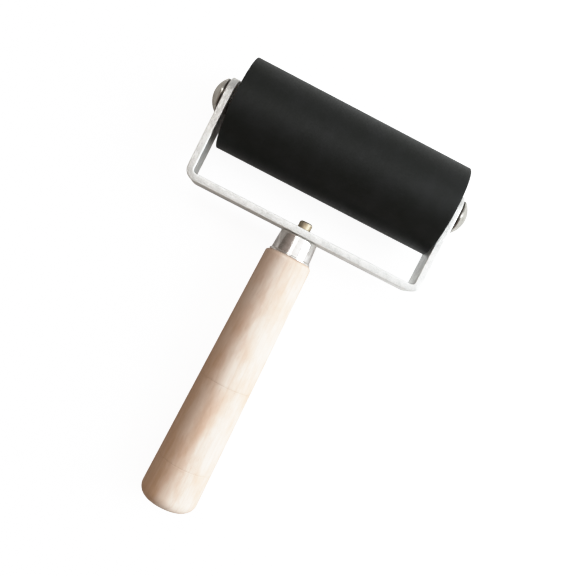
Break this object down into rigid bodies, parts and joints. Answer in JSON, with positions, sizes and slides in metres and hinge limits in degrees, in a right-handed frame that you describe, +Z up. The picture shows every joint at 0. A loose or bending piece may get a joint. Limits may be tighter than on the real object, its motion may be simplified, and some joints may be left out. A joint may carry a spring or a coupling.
{
  "type": "rubber brayer",
  "caption": "Hand brayer: rubber-covered roller turning on an axle in a bent flat-strip fork, with a ferruled, turned wooden handle.",
  "frame": {"origin": "bottom centre of the whole tool's box as it lies on a table, on the roller and the handle's butt", "axes": "+X along the roller's axle, +Y from the handle's butt towards the roller, +Z up from the table"},
  "size_m": [0.12, 0.1882, 0.0412],
  "materials": {
    "black_rubber": "ground matte rubber",
    "core_aluminium": "drawn tube",
    "plug_nylon": "moulded nylon",
    "bush_bronze": "oiled sintered bronze",
    "axle_steel": "drawn bright steel",
    "washer_nylon": "black nylon",
    "dark_washer": "blackened steel",
    "nickel_screw": "polished nickel plate",
    "zinc_strip": "bright zinc plate, slightly mottled",
    "yellow_rod": "yellow passivated zinc",
    "chrome_ferrule": "bright nickel-chrome plate",
    "pale_wood": "sanded unvarnished beech"
  },
  "bodies": {
    "handle_frame": {"u_frame": "zinc_strip", "axle_rod": "axle_steel", "end_screw_left": "nickel_screw", "end_screw_right": "nickel_screw", "screw_washer_left": "dark_washer", "screw_washer_right": "dark_washer", "thrust_washer_left": "washer_nylon", "thrust_washer_right": "washer_nylon", "handle_rod": "yellow_rod", "lock_nut": "axle_steel", "ferrule": "chrome_ferrule", "wood_handle": "pale_wood"},
    "roller": {"rubber_sleeve": "black_rubber", "core_tube": "core_aluminium", "end_plug_left": "plug_nylon", "end_plug_right": "plug_nylon", "bush_left": "bush_bronze", "bush_right": "bush_bronze"}
  },
  "joints": [
    {"name": "roller_spin", "type": "hinge", "parent": "handle_frame", "child": "roller", "pos_m": [0, 0.07349, 0.0206], "axis": [1, 0, 0], "continuous": true}
  ]
}
